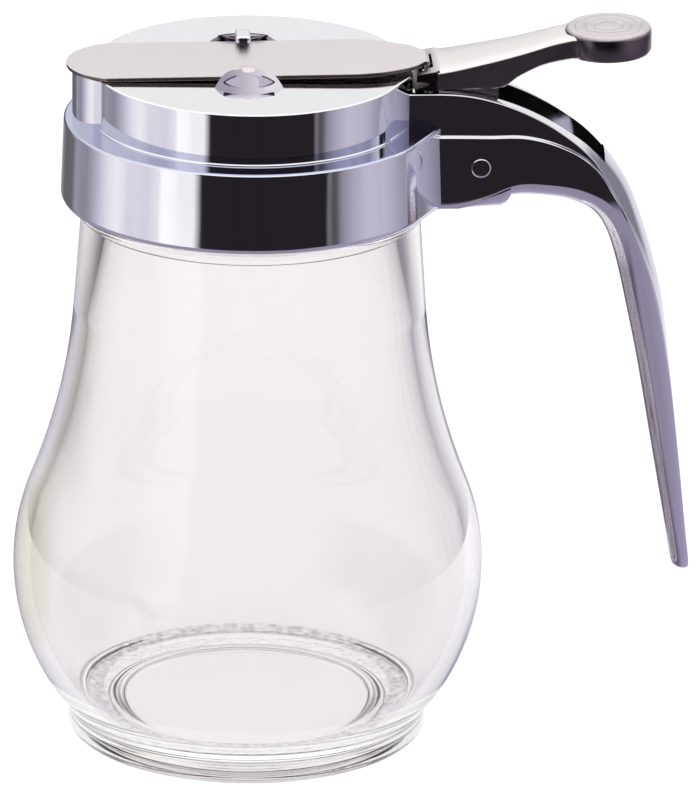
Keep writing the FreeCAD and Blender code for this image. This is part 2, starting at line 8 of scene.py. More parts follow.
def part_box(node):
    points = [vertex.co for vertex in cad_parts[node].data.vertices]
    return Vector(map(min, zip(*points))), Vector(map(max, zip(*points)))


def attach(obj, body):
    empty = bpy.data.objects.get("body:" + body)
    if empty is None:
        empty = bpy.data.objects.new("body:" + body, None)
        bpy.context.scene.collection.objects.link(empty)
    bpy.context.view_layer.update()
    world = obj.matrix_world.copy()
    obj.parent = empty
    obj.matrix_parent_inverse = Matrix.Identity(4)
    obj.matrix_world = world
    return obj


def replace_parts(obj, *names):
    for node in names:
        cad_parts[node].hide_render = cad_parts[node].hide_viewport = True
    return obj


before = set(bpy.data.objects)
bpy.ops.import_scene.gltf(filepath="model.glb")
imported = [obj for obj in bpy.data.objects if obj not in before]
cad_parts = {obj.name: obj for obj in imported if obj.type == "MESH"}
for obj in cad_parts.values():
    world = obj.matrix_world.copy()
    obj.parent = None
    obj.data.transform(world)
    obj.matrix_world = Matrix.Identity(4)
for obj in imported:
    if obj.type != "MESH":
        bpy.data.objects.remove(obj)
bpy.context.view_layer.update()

mm = 0.001

# Corners of the CAD pieces, in millimetres, which place everything below
topLow, topHigh = (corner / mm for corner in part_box("top_casting"))
jarLow, jarHigh = (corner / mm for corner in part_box("glass_jar"))
gateLow, gateHigh = (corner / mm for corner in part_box("gate_plate"))
leverLow, leverHigh = (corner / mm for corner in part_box("thumb_lever"))
pinLow, pinHigh = (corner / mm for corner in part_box("pivot_pin"))
sealLow, sealHigh = (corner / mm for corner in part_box("neck_gasket"))
print("frame loaded")


# Camera
cameraLook = {
    "place": (-78.5, -1798.3, 702.7),
    "aim": (0.04911, 0.93930, -0.33956),
    "roll": 0.64,        # degrees, clockwise
    "lens": 561.3,
}


def makeCamera(look):
    data = bpy.data.cameras.new("camera")
    data.lens = look["lens"]
    data.sensor_width = 36
    data.clip_start = 0.05
    data.clip_end = 20
    camera = bpy.data.objects.new("camera", data)
    bpy.context.scene.collection.objects.link(camera)
    turn = Vector(look["aim"]).to_track_quat("-Z", "Y").to_matrix()
    roll = Matrix.Rotation(radians(look["roll"]), 3, "Z")
    camera.matrix_world = Matrix.Translation(Vector(look["place"]) * mm) @ (turn @ roll).to_4x4()
    bpy.context.scene.camera = camera


makeCamera(cameraLook)
print("camera placed")


# Shader helpers
class Link:
    # A socket that adds Math nodes when it is used in an expression
    def __init__(self, tree, socket):
        self.tree = tree
        self.socket = socket

    def math(self, operation, *terms):
        # With one term the socket itself comes first
        node = self.tree.nodes.new("ShaderNodeMath")
        node.operation = operation
        for place, value in enumerate(terms if len(terms) > 1 else (self, *terms)):
            if isinstance(value, Link):
                self.tree.links.new(value.socket, node.inputs[place])
            else:
                node.inputs[place].default_value = value
        return Link(self.tree, node.outputs[0])

    def __add__(self, other):
        return self.math("ADD", self, other)

    __radd__ = __add__

    def __sub__(self, other):
        return self.math("SUBTRACT", self, other)

    def __rsub__(self, other):
        return self.math("SUBTRACT", other, self)

    def __mul__(self, other):
        return self.math("MULTIPLY", self, other)

    __rmul__ = __mul__

    def __pow__(self, other):
        return self.math("POWER", self, other)

    def clamp(self):
        return self.math("MINIMUM", 1.0).math("MAXIMUM", 0.0)


class Finish:
    # One material; add() makes any node from its type, its settings and its sockets' values or links
    def __init__(self, name):
        self.material = bpy.data.materials.new(name)
        self.material.use_nodes = True
        self.tree = self.material.node_tree
        self.shader = self.tree.nodes["Principled BSDF"]

    def add(self, kind, settings=None, output=0, **values):
        node = self.tree.nodes.new("ShaderNode" + kind)
        for name, value in (settings or {}).items():
            if name == "stops":
                self.setStops(node.color_ramp, value)
            else:
                setattr(node, name, value)
        self.connect(node, values)
        return Link(self.tree, node.outputs[output])

    def setStops(self, ramp, stops):
        while len(ramp.elements) < len(stops):
            ramp.elements.new(0.5)
        for element, (place, colour) in zip(ramp.elements, stops):
            element.position = place
            element.color = colour

    def connect(self, node, values):
        for name, value in values.items():
            socket = node.inputs[name.replace("_", " ")]
            if isinstance(value, Link):
                self.tree.links.new(value.socket, socket)
            else:
                socket.default_value = value

    def surface(self, **values):
        self.connect(self.shader, values)
        return self.material

    def place(self, stretch=(1, 1, 1)):
        coordinates = self.add("TexCoord", output=3)
        return self.add("Mapping", Vector=coordinates, Scale=stretch)

    def blend(self, factor, first, second):
        node = self.tree.nodes.new("ShaderNodeMix")
        node.data_type = "RGBA"
        for place, value in ((0, factor), (6, first), (7, second)):
            if isinstance(value, Link):
                self.tree.links.new(value.socket, node.inputs[place])
            else:
                node.inputs[place].default_value = value
        return Link(self.tree, node.outputs[2])

    def split(self, vector, axis):
        return self.add("SeparateXYZ", output=axis, Vector=vector)


def makeChrome(name, tint, roughness, ripple, other=None, axis="Z", start=0.0, rate=6000.0):
    # other is a second tint, past a place along one axis; it is used for painted reflection and shade
    finish = Finish(name)
    cast = finish.add("TexNoise", Vector=finish.place(), Scale=55.0, Detail=2.0)
    haze = finish.add("TexNoise", Vector=finish.place(), Scale=420.0, Detail=3.0)
    bump = finish.add("Bump", Height=cast, Strength=ripple, Distance=0.0006)
    colour = finish.blend(haze, tint, [0.95 * shade for shade in tint[:3]] + [1])
    if other:
        along = finish.split(finish.place(), "XYZ".index(axis))
        colour = finish.blend(((along - start) * rate + 0.5).clamp(), colour, other)
    return finish.surface(Base_Color=colour, Metallic=1.0, Roughness=haze * 0.05 + roughness, Normal=bump)


def makeHandleChromePaintedShade(name, tint, inner):
    # The inner side of the tail is tinted darker violet: painted shade
    finish = Finish(name)
    cast = finish.add("TexNoise", Vector=finish.place(), Scale=55.0, Detail=2.0)
    haze = finish.add("TexNoise", Vector=finish.place(), Scale=420.0, Detail=3.0)
    bump = finish.add("Bump", Height=cast, Strength=0.12, Distance=0.0006)
    colour = finish.blend(haze, tint, [0.95 * shade for shade in tint[:3]] + [1])
    x, y, z = (finish.split(finish.place(), axis) for axis in range(3))
    inside = ((0.0714 - 0.17 * z - x) * 1800.0).clamp() * ((0.082 - z) * 150.0).clamp()
    colour = finish.blend(inside, colour, inner)
    return finish.surface(Base_Color=colour, Metallic=1.0, Roughness=haze * 0.05 + 0.03, Normal=bump)


def makeSatin(name, light, dark, roughness, grain, depth, low=None, top=0.0):
    # low is a darker colour below a height, used as painted shade
    finish = Finish(name)
    streak = finish.add("TexNoise", Vector=finish.place(grain), Scale=900.0, Detail=4.0)
    cloud = finish.add("TexNoise", Vector=finish.place(), Scale=160.0, Detail=3.0)
    bump = finish.add("Bump", Height=streak, Strength=depth, Distance=0.00004)
    colour = finish.blend(cloud * 0.6 + streak * 0.4, light, dark)
    if low:
        height = finish.split(finish.place(), 2)
        colour = finish.blend(((height - top) * 1600.0).clamp(), low, colour)
    return finish.surface(Base_Color=colour, Metallic=1.0,
                          Roughness=streak * 0.12 + roughness, Normal=bump)


def makeGlass(name):
    finish = Finish(name)
    flow = finish.add("TexNoise", Vector=finish.place((1, 1, 0.35)), Scale=38.0, Detail=1.5)
    x, y, z = (finish.split(finish.place(), axis) for axis in range(3))
    radius = (x * x + y * y) ** 0.5
    # the ring that the jar stands on is stippled, and its foot is a little greyer
    away = radius.math("ABSOLUTE", radius - 0.0240, 0)
    ring = ((0.0017 - away) * 2500.0).clamp() * ((0.0064 - z) * 2500.0).clamp()
    foot = ((radius - 0.0268) * 2500.0).clamp() * ((0.0027 - z) * 2500.0).clamp()
    stipple = finish.add("TexVoronoi", Vector=finish.place(), Scale=850.0)
    height = flow + stipple * ring * 0.35
    bump = finish.add("Bump", Height=height, Strength=0.25, Distance=0.0006)
    grey = ring * (1.15 - stipple * 1.2).clamp()
    colour = finish.blend(grey, (0.905, 0.885, 0.888, 1), (0.24, 0.22, 0.25, 1))
    colour = finish.blend(foot, colour, (0.54, 0.51, 0.53, 1))
    # one side of the glass gets painted shade, and a painted greenish tint at the bulge, both standing in for
    # what the glass refracts
    green = ((-0.0310 - x) * 450.0).clamp() * ((0.044 - z) * 120.0).clamp() * ((z - 0.012) * 120.0).clamp()
    colour = finish.blend(green, colour, (0.80, 0.775, 0.68, 1))
    paintedShadeSide = ((-0.0245 - x) * 450.0).clamp() * ((z - 0.042) * 120.0).clamp()
    colour = finish.blend(paintedShadeSide, colour, (0.78, 0.74, 0.785, 1))
    return finish.surface(Base_Color=colour, Transmission_Weight=1.0, IOR=1.48,
                          Roughness=ring * 0.2, Normal=bump)


def makeRubber(name):
    finish = Finish(name)
    speckle = finish.add("TexNoise", Vector=finish.place(), Scale=1400.0, Detail=3.0)
    bump = finish.add("Bump", Height=speckle, Strength=0.2, Distance=0.00005)
    colour = finish.blend(speckle, (0.80, 0.79, 0.75, 1), (0.70, 0.69, 0.65, 1))
    return finish.surface(Base_Color=colour, Roughness=0.7, Normal=bump)


plate = (0.86, 0.85, 0.89, 1)
even = (1, 1, 1)
chrome = makeChrome("mirror chrome", plate, 0.03, 0.12)
# the collar's ledge is tinted bluer and darker than its wall: a painted reflection
collarChromePaintedLedge = makeChrome("collar chrome with painted ledge reflection", plate, 0.03, 0.12, (0.50, 0.53, 0.70, 1), "Z", 0.09865)
# the handle's chrome carries painted shade along the inner side of its tail
handleChromePaintedShade = makeHandleChromePaintedShade("handle chrome with painted shade", plate, (0.36, 0.325, 0.39, 1))
# the bosses' chrome is tinted dark violet, and lighter past their middle towards the handle: painted shade
# and painted reflection
bossChromePaintedShade = makeChrome("boss chrome with painted shade", (0.30, 0.265, 0.35, 1), 0.05, 0.1, (0.62, 0.59, 0.63, 1),
                        "X", -0.0008, 160.0)
gateSteel = makeSatin("satin gate sheet", (0.75, 0.70, 0.715, 1), (0.71, 0.66, 0.675, 1), 0.26,
                      (0.03, 1, 1), 0.2)
# dark brown for the gate's edge and the gap under it: partly the edge, partly painted shadow
gateEdgePaintedShade = makeSatin("gate edge with painted shade", (0.20, 0.155, 0.145, 1), (0.12, 0.09, 0.09, 1), 0.22, even, 0.2)
leverNickel = makeSatin("satin nickel", (0.86, 0.83, 0.83, 1), (0.80, 0.765, 0.77, 1), 0.15, even, 0.2)
# the thumb pad's side below its rounded top edge is near black: painted shade
padNickelPaintedShade = makeSatin("thumb pad nickel with painted shade", (0.70, 0.645, 0.665, 1), (0.58, 0.53, 0.55, 1), 0.20, even, 0.12,
                      (0.13, 0.105, 0.12, 1), 0.1122)
# the lever's fork and prongs go near black below 107.1 mm: painted shade
forkNickelPaintedShade = makeSatin("fork nickel with painted shade", (0.80, 0.765, 0.77, 1), (0.74, 0.70, 0.71, 1), 0.18, even, 0.12,
                       (0.10, 0.08, 0.085, 1), 0.1071)
# the sloping faces on the bosses are tinted darker violet: a painted darker reflection
bossFacePaintedShade = makeChrome("boss face with painted shade", (0.41, 0.37, 0.47, 1), 0.06, 0.1)
# near-black sheets that stand where there is only shade: painted shade
paintedGapShade = makeSatin("painted gap shade", (0.05, 0.04, 0.06, 1), (0.03, 0.025, 0.04, 1), 0.3, even, 0.2)
pinSteel = makeChrome("turned pin", (0.85, 0.84, 0.88, 1), 0.04, 0.05)
springSteel = makeSatin("spring wire", (0.30, 0.28, 0.30, 1), (0.20, 0.185, 0.20, 1), 0.25, even, 0.2)
clearGlass = makeGlass("pressed glass")
sealRubber = makeRubber("seal rubber")
print("finishes made")


# Mesh helpers
def finishPiece(name, work, material, body, sharp=32):
    for vertex in work.verts:
        vertex.co *= mm
    bmesh.ops.remove_doubles(work, verts=work.verts, dist=1e-7)
    bmesh.ops.recalc_face_normals(work, faces=work.faces)
    mesh = bpy.data.meshes.new(name)
    work.to_mesh(mesh)
    work.free()
    mesh.materials.append(material)
    mesh.shade_smooth()
    mesh.set_sharp_from_angle(angle=radians(sharp))
    piece = bpy.data.objects.new(name, mesh)
    bpy.context.scene.collection.objects.link(piece)
    if body:
        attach(piece, body)
    return piece


def carve(piece, cutter, operation="DIFFERENCE", sharp=32):
    modifier = piece.modifiers.new("carve", "BOOLEAN")
    modifier.operation = operation
    modifier.solver = "EXACT"
    modifier.object = cutter
    bpy.context.view_layer.update()
    cut = bpy.data.meshes.new_from_object(piece.evaluated_get(bpy.context.evaluated_depsgraph_get()))
    piece.modifiers.clear()
    piece.data = cut
    cut.shade_smooth()
    cut.set_sharp_from_angle(angle=radians(sharp))
    bpy.data.objects.remove(cutter)


def arcPoints(centre, radius, start, end, count):
    # Points on an arc; angles in degrees
    angles = [radians(start + (end - start) * step / (count - 1)) for step in range(count)]
    return [(centre[0] + radius * cos(angle), centre[1] + radius * sin(angle)) for angle in angles]


def spun(profile, steps):
    # A closed shell turned round Z from a profile of (radius, height) points that starts and ends on the axis
    work = bmesh.new()
    row = [work.verts.new((max(radius, 0), 0, height)) for radius, height in profile]
    edges = [work.edges.new(pair) for pair in zip(row, row[1:])]
    bmesh.ops.spin(work, geom=row + edges, cent=(0, 0, 0), axis=(0, 0, 1), angle=2 * pi, steps=steps,
                   use_merge=True)
    bmesh.ops.remove_doubles(work, verts=work.verts, dist=1e-4)
    return work


def raised(outline, bottom, top, bevels=(), onSide=False):
    # A flat outline pushed up into a solid; bevels are (height, radius) for its flat ends
    work = bmesh.new()
    face = work.faces.new([work.verts.new((x, y, bottom)) for x, y in outline])
    reach = [abs(height - bottom) < 1e-4 and radius + 0.1 for height, radius in bevels]
    drop = [abs(height - top) < 1e-4 and radius + 0.1 for height, radius in bevels]
    levels = [bottom + value for value in reach if value] + [top - value for value in drop if value] + [top]
    height = bottom
    for level in sorted(levels):
        pushed = bmesh.ops.extrude_face_region(work, geom=[face])
        fresh = [item for item in pushed["geom"] if isinstance(item, bmesh.types.BMVert)]
        bmesh.ops.translate(work, verts=fresh, vec=(0, 0, level - height))
        old = face
        face = next(item for item in pushed["geom"] if isinstance(item, bmesh.types.BMFace))
        if height > bottom:
            work.faces.remove(old)
        height = level
    for height, radius in bevels:
        rim = [edge for edge in work.edges if all(abs(v.co.z - height) < 1e-4 for v in edge.verts)]
        bmesh.ops.bevel(work, geom=rim, offset=radius, offset_type="OFFSET", affect="EDGES", segments=5,
                        profile=0.5, material=-1, clamp_overlap=True)
        cap = [face for face in work.faces if all(abs(v.co.z - height) < 1e-4 for v in face.verts)]
        bmesh.ops.inset_region(work, faces=cap, thickness=0.05, use_even_offset=True)
    if onSide:
        bmesh.ops.rotate(work, verts=work.verts, matrix=Matrix.Rotation(radians(90), 3, "X"))
    return work


def lofted(rings):
    # Rings of equal length joined one to the next, closed at both ends
    work = bmesh.new()
    loops = []
    for ring in rings:
        row = [work.verts.new(point) for point in ring]
        loops.append([work.edges.new(pair) for pair in zip(row, row[1:] + row[:1])])
    for first, second in zip(loops, loops[1:]):
        bmesh.ops.bridge_loops(work, edges=first + second)
    for loop in (loops[0], loops[-1]):
        bmesh.ops.contextual_create(work, geom=loop)
    return work


def smoothThrough(values, where):
    # Catmull-Rom value at a place between 0 and the last station's number
    last = len(values) - 1
    index = min(int(where), last - 1)
    part = where - index
    before = values[max(index - 1, 0)]
    first = values[index]
    second = values[index + 1]
    after = values[min(index + 2, last)]
    return 0.5 * (2 * first + (second - before) * part
                  + (2 * before - 5 * first + 4 * second - after) * part ** 2
                  + (3 * first - before - 3 * second + after) * part ** 3)


# Glass jar
jarShape = {
    "bulgeRadius": -jarLow.x, "bulgeHeight": 26.8, "bulgeCurve": 34.5,
    "waistCurve": 97.0, "waistSlope": 21.8, "shoulderSlope": 4.2,
    "wall": 2.6, "neckRoot": sealHigh.x, "lip": jarHigh.z, "neckBottom": sealLow.z - 10.4,
    "footRadius": 27.6, "footBand": 2.6, "footEdge": 1.3, "lipEdge": 0.9, "innerLipEdge": 0.6,
    "pushUp": 2.4, "pushUpRadius": 21.5, "floor": 3.2, "coveRise": 2.2,
    # the cove between wall and floor: how far in from its corner, and how high above the floor
    "cove": [(1.7, 0.55), (3.0, 0.12), (4.6, 0)], "coveStart": (0.75, 0.9),
    "steps": 256,
}


def jarSide(shape, inset, low, high):
    # The bulge and the waist as two arcs that share a slope, from a low angle up to the shoulder
    bulgeX = shape["bulgeRadius"] - shape["bulgeCurve"]
    far = shape["bulgeCurve"] + shape["waistCurve"]
    slope = shape["waistSlope"]
    waistX = bulgeX + far * cos(radians(slope))
    waistZ = shape["bulgeHeight"] + far * sin(radians(slope))
    bulge = arcPoints((bulgeX, shape["bulgeHeight"]), shape["bulgeCurve"] - inset, low, slope, 48)
    waist = arcPoints((waistX, waistZ), shape["waistCurve"] + inset, 180 + slope, 180 + high, 28)
    return bulge + waist[1:]


def makeJar(shape):
    foot = shape["footRadius"]
    edge = shape["footEdge"]
    bulgeX = shape["bulgeRadius"] - shape["bulgeCurve"]
    low = -acos((foot + 0.5 - bulgeX) / shape["bulgeCurve"]) * 180 / pi
    outside = jarSide(shape, 0, low, shape["shoulderSlope"])
    neckBottom = shape["neckBottom"]
    shoulder = outside[-1]
    neckX = shoulder[0] - (neckBottom - shoulder[1]) * sin(radians(shape["shoulderSlope"]))
    push = shape["pushUp"]
    pushR = shape["pushUpRadius"]
    under = [(0, push), (pushR - 6.0, push)] + arcPoints((pushR - 3.0, push - 1.6), 1.6, 90, 20, 6)
    under += [(pushR, 0.35)] + arcPoints((pushR + 0.9, 0.9), 0.9, 215, 270, 5)
    footEdge = arcPoints((foot - edge, edge), edge, -90, 0, 8)
    band = [(foot, shape["footBand"] - 0.2), (foot - 0.12, shape["footBand"] + 0.15)]
    bead = arcPoints((neckX - 0.1, neckBottom - 1.0), 0.75, -70, 80, 9)
    neck = shape["neckRoot"]
    lipEdge = shape["lipEdge"]
    lip = arcPoints((neck - lipEdge, shape["lip"] - lipEdge), lipEdge, 0, 90, 6)
    mouth = neck - shape["wall"]
    floor = push + shape["floor"]
    innerCurve = shape["bulgeCurve"] - shape["wall"]
    heel = asin((floor + shape["coveRise"] - shape["bulgeHeight"]) / innerCurve) * 180 / pi
    inside = jarSide(shape, shape["wall"], heel, shape["shoulderSlope"])
    lipEdge = shape["innerLipEdge"]
    innerLip = arcPoints((mouth + lipEdge, shape["lip"] - lipEdge), lipEdge, 90, 180, 5)
    corner = inside[0]
    cove = [(corner[0] - shape["coveStart"][0], corner[1] - shape["coveStart"][1])]
    cove += [(corner[0] - inward, floor + up) for inward, up in shape["cove"]]
    profile = under + footEdge + band + outside + bead + [(neck + 0.3, neckBottom), (neck, neckBottom + 0.4)]
    profile += lip + innerLip + [(mouth, neckBottom - 2.0)] + inside[::-1] + cove + [(0, floor)]
    work = spun(profile, shape["steps"])
    jar = finishPiece("jar_glass", work, clearGlass, "jar", sharp=50)
    jar.visible_shadow = False
    jar.visible_diffuse = False
    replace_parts(jar, "glass_jar")


makeJar(jarShape)
print("jar made")


# Collar and drum
topShape = {
    "collarRadius": -topLow.y, "collarBottom": sealLow.z - 9.6, "collarTop": 98.8, "collarTaper": 0.985,
    "collarEdge": 1.0, "ledgeEdge": 0.45, "collarFlank": 31.0, "drumFlank": 35.5,
    "collarTip": 28.7, "drumTip": 23.7,
    "drumRadius": 24.3, "disc": 106.9, "drumEdge": 0.3, "cheekHalf": 6.4, "proudHalf": 7.3,
    "lobeRadius": 8.9, "lobeReach": 27.3, "plate": 2.0, "drumWall": 1.9, "bore": sealHigh.x + 2.1,
    "pourRadius": 6.0, "pourReach": 24.9, "pourFloor": 1.4,
    "endBulge": 0.6, "endShare": 0.75, "filletSize": 0.28, "filletEdge": 0.26,
}


def planOutline(radius, half, angle, tip):
    # Round behind, with flat flanks that run from the given angle to where the handle's cheeks begin,
    # and an end between the cheeks that stands out a little
    behind = arcPoints((0, 0), radius, angle, 360 - angle, 217)
    endX = tip + topShape["endBulge"]
    endY = topShape["endShare"] * half
    return [(tip, half)] + behind + [(tip, -half), (endX, -endY), (endX, endY)]


def makeTop(shape):
    low = shape["collarBottom"]
    ledge = shape["collarTop"]
    disc = shape["disc"]
    collar = raised(planOutline(shape["collarRadius"], shape["proudHalf"], shape["collarFlank"],
                                shape["collarTip"]), low, ledge,
                    [(ledge, shape["ledgeEdge"]), (low, shape["collarEdge"])])
    for vertex in collar.verts:
        rise = (vertex.co.z - low) / (ledge - low)
        scale = 1 + (shape["collarTaper"] - 1) * rise
        vertex.co.x *= scale
        vertex.co.y *= scale
    collarPiece = finishPiece("screw_collar", collar, collarChromePaintedLedge, "top", sharp=20)
    drum = raised(planOutline(shape["drumRadius"], shape["cheekHalf"], shape["drumFlank"],
                              shape["drumTip"]), ledge - 1.0, disc,
                  [(disc, shape["drumEdge"])])
    drumPiece = finishPiece("drum", drum, chrome, "top", sharp=20)
    lobeX = shape["lobeRadius"] - shape["lobeReach"]
    lobe = raised([(lobeX + x, y) for x, y in arcPoints((0, 0), shape["lobeRadius"], 40, 320, 97)],
                  ledge - 1.0, disc, [(disc, shape["drumEdge"])])
    lobePiece = finishPiece("pour_lobe", lobe, chrome, None)
    carve(drumPiece, lobePiece, "UNION", sharp=20)

    seat = ledge - shape["plate"]
    inner = shape["drumRadius"] - shape["drumWall"]
    bore = shape["bore"]
    cavity = [(0, low - 1), (bore, low - 1), (bore, seat), (inner, seat), (inner, disc - shape["plate"]),
              (0, disc - shape["plate"])]
    for piece in (collarPiece, drumPiece):
        cutter = finishPiece("cavity", spun(cavity, 128), chrome, None)
        carve(piece, cutter, sharp=20)
    pour = [(0, ledge + shape["pourFloor"]), (shape["pourRadius"], ledge + shape["pourFloor"]),
            (shape["pourRadius"], disc + 1), (0, disc + 1)]
    hole = spun(pour, 96)
    bmesh.ops.translate(hole, verts=hole.verts, vec=(shape["pourRadius"] - shape["pourReach"], 0, 0))
    carve(drumPiece, finishPiece("pour_hole", hole, chrome, None), sharp=20)
    # the small fillet round the drum's foot
    high = ledge + shape["filletSize"]
    foot = raised(planOutline(shape["drumRadius"] + shape["filletSize"], shape["cheekHalf"],
                              shape["drumFlank"], shape["drumTip"]),
                  ledge - 0.3, high, [(high, shape["filletEdge"])])
    footPiece = finishPiece("drum_foot", foot, chrome, "top", sharp=20)
    carve(footPiece, finishPiece("cavity", spun(cavity, 128), chrome, None), sharp=20)
    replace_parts(collarPiece, "top_casting")


makeTop(topShape)
print("collar and drum made")


# Guide bosses beside the gate
bossShape = {
    "centreX": -0.87, "length": 10.6, "width": 5.2, "gap": 0.1, "height": 2.3, "crestGap": 0.7,
    "faceLength": 7.3, "faceWidth": 2.8, "faceSlope": 31.0, "faceCentre": 3.2, "faceHeight": 1.17,
    "nibHalf": (1.4, 1.6, 0.5), "nibReach": 0.1, "nibHeight": 2.0, "farHeight": 1.75,
    "farNib": (2.3, 4.2, 1.1), "farNibReach": -2.9, "farNibHeight": 2.0, "farNibEdge": 0.45,
    "farNibShift": -0.2, "farFront": (1.3, 0.5, 0.8), "farFrontEdge": 0.1, "farFrontDrop": 0.05,
    "farFrontIn": 0.2,
    "rimGrow": 0.34, "rimSink": 0.07, "farSink": 0.25,
}


def lensOutline(length, width):
    radius = (length ** 2 / 4 + (width / 2) ** 2) / width
    reach = asin(length / 2 / radius) * 180 / pi
    outward = arcPoints((0, width / 2 - radius), radius, 90 - reach, 90 + reach, 33)
    inward = arcPoints((0, radius - width / 2), radius, 270 - reach, 270 + reach, 33)
    return outward[:-1] + inward[:-1]


def roundedBlock(size, edge, segments):
    work = bmesh.new()
    bmesh.ops.create_cube(work, size=1)
    bmesh.ops.scale(work, verts=work.verts, vec=size)
    bmesh.ops.bevel(work, geom=work.edges[:], offset=edge, offset_type="OFFSET", affect="EDGES",
                    segments=segments, profile=0.5, material=-1)
    return work


def makeBoss(shape, side, name):
    # A lens-shaped mound whose crest leans to the gate, with a lens-shaped face on its outer slope; the face
    # has a painted darker reflection, and a near-black rim of painted shade rings it
    disc = topShape["disc"]
    height = shape["height"] if side < 0 else shape["farHeight"]
    gateEdge = gateHigh.y + shape["gap"]
    centre = gateEdge + shape["width"] / 2
    lean = gateEdge + shape["crestGap"] - centre
    rings = []
    for step in range(15):
        spread = 1 - step / 14
        rise = 1 - spread ** 1.35
        narrow = 0.3 + 0.7 * sqrt(spread)
        rings.append([(shape["centreX"] + x * narrow,
                       side * (y * (0.93 * spread + 0.07) + centre + lean * rise ** 1.5),
                       disc - 0.2 + (height + 0.2) * rise)
                      for x, y in lensOutline(shape["length"], shape["width"])])
    finishPiece(name, lofted(rings), bossChromePaintedShade, "top", sharp=60)
    slope = Matrix.Rotation(side * radians(-shape["faceSlope"]), 3, "X")
    fall = 0.0 if side < 0 else shape["farSink"]
    for part, grow, sink, material in (("rim", shape["rimGrow"], shape["rimSink"] + fall, paintedGapShade),
                                       ("face", 0.0, fall, bossFacePaintedShade)):
        face = raised(lensOutline(shape["faceLength"] + 1.4 * grow, shape["faceWidth"] + grow), -0.4, 0.0,
                      [(0.0, 0.12)])
        bmesh.ops.rotate(face, verts=face.verts, matrix=slope)
        bmesh.ops.translate(face, verts=face.verts, vec=(
            shape["centreX"], side * (gateEdge + shape["faceCentre"] - 0.6 * grow),
            disc + shape["faceHeight"] - sink + 0.25 * grow))
        finishPiece(f"{name}_{part}", face, material, "top")
    if side < 0:
        nib = bmesh.new()
        bmesh.ops.create_uvsphere(nib, u_segments=32, v_segments=20, radius=1)
        bmesh.ops.scale(nib, verts=nib.verts, vec=shape["nibHalf"])
        place = (shape["centreX"], side * (gateEdge + shape["nibReach"]), disc + shape["nibHeight"])
    else:
        nib = roundedBlock(shape["farNib"], shape["farNibEdge"], 6)
        reach = shape["farNib"][1] / 2
        place = (shape["centreX"] + shape["farNibShift"], side * (gateEdge + shape["farNibReach"] + reach),
                 disc + shape["farNibHeight"])
        # a near-black block in front of the far nib: painted shade
        front = roundedBlock(shape["farFront"], shape["farFrontEdge"], 3)
        bmesh.ops.translate(front, verts=front.verts, vec=(
            place[0], place[1] - reach + shape["farFrontIn"], place[2] - shape["farFrontDrop"]))
        finishPiece(name + "_nib_front", front, paintedGapShade, "top")
    bmesh.ops.translate(nib, verts=nib.verts, vec=place)
    finishPiece(name + "_nib", nib, gateSteel if side < 0 else chrome, "top", sharp=60)


makeBoss(bossShape, -1, "near_boss")
makeBoss(bossShape, 1, "far_boss")
print("bosses made")


# Handle
# Stations along the handle: the rim's corner, the inner edge, how far the proud step lies below the rim,
# how far the back stands up between the edges, the side's half width, and the inner rounding
handleStations = [
    {"rim": (20.0, 104.0), "inner": (20.0, 86.4), "step": 6.5, "crown": 0.0,
     "half": 7.3, "fall": 0.3, "turn": 0.3},
    {"rim": (30.2, 104.0), "inner": (30.0, 86.4), "step": 6.5, "crown": 0.0,
     "half": 7.3, "fall": 0.3, "turn": 0.3},
    {"rim": (36.4, 102.9), "inner": (35.2, 87.0), "step": 5.5, "crown": 0.1,
     "half": 7.3, "fall": 0.9, "turn": 0.9},
    {"rim": (42.2, 100.6), "inner": (40.0, 87.9), "step": 3.3, "crown": 0.4,
     "half": 7.3, "fall": 2.0, "turn": 1.6},
    {"rim": (47.6, 97.3), "inner": (44.6, 87.7), "step": 1.6, "crown": 0.8,
     "half": 7.3, "fall": 2.2, "turn": 1.8},
    {"rim": (51.9, 93.4), "inner": (48.6, 86.9), "step": 0.5, "crown": 1.5,
     "half": 7.3, "fall": 2.4, "turn": 2.0},
    {"rim": (55.2, 88.3), "inner": (51.8, 85.2), "step": 0.1, "crown": 1.9,
     "half": 7.2, "fall": 2.6, "turn": 2.3},
    {"rim": (58.0, 82.5), "inner": (54.0, 82.0), "step": 0.0, "crown": 1.6,
     "half": 6.9, "fall": 3.6, "turn": 2.6},
    {"rim": (60.4, 76.2), "inner": (55.7, 76.8), "step": 0.0, "crown": 1.2,
     "half": 6.5, "fall": 4.6, "turn": 2.9},
    {"rim": (62.3, 69.5), "inner": (57.3, 69.8), "step": 0.0, "crown": 0.8,
     "half": 6.2, "fall": 4.9, "turn": 2.9},
    {"rim": (64.2, 58.5), "inner": (59.6, 58.8), "step": 0.0, "crown": 0.3,
     "half": 5.7, "fall": 4.5, "turn": 2.8},
    {"rim": (65.8, 45.5), "inner": (61.9, 45.8), "step": 0.0, "crown": 0.1,
     "half": 5.3, "fall": 3.8, "turn": 2.6},
    {"rim": (67.0, 34.5), "inner": (63.8, 34.9), "step": 0.0, "crown": 0.0,
     "half": 4.9, "fall": 3.1, "turn": 2.3},
    {"rim": (67.75, 28.0), "inner": (64.95, 28.4), "step": 0.0, "crown": 0.0,
     "half": 4.7, "fall": 2.7, "turn": 2.1},
]
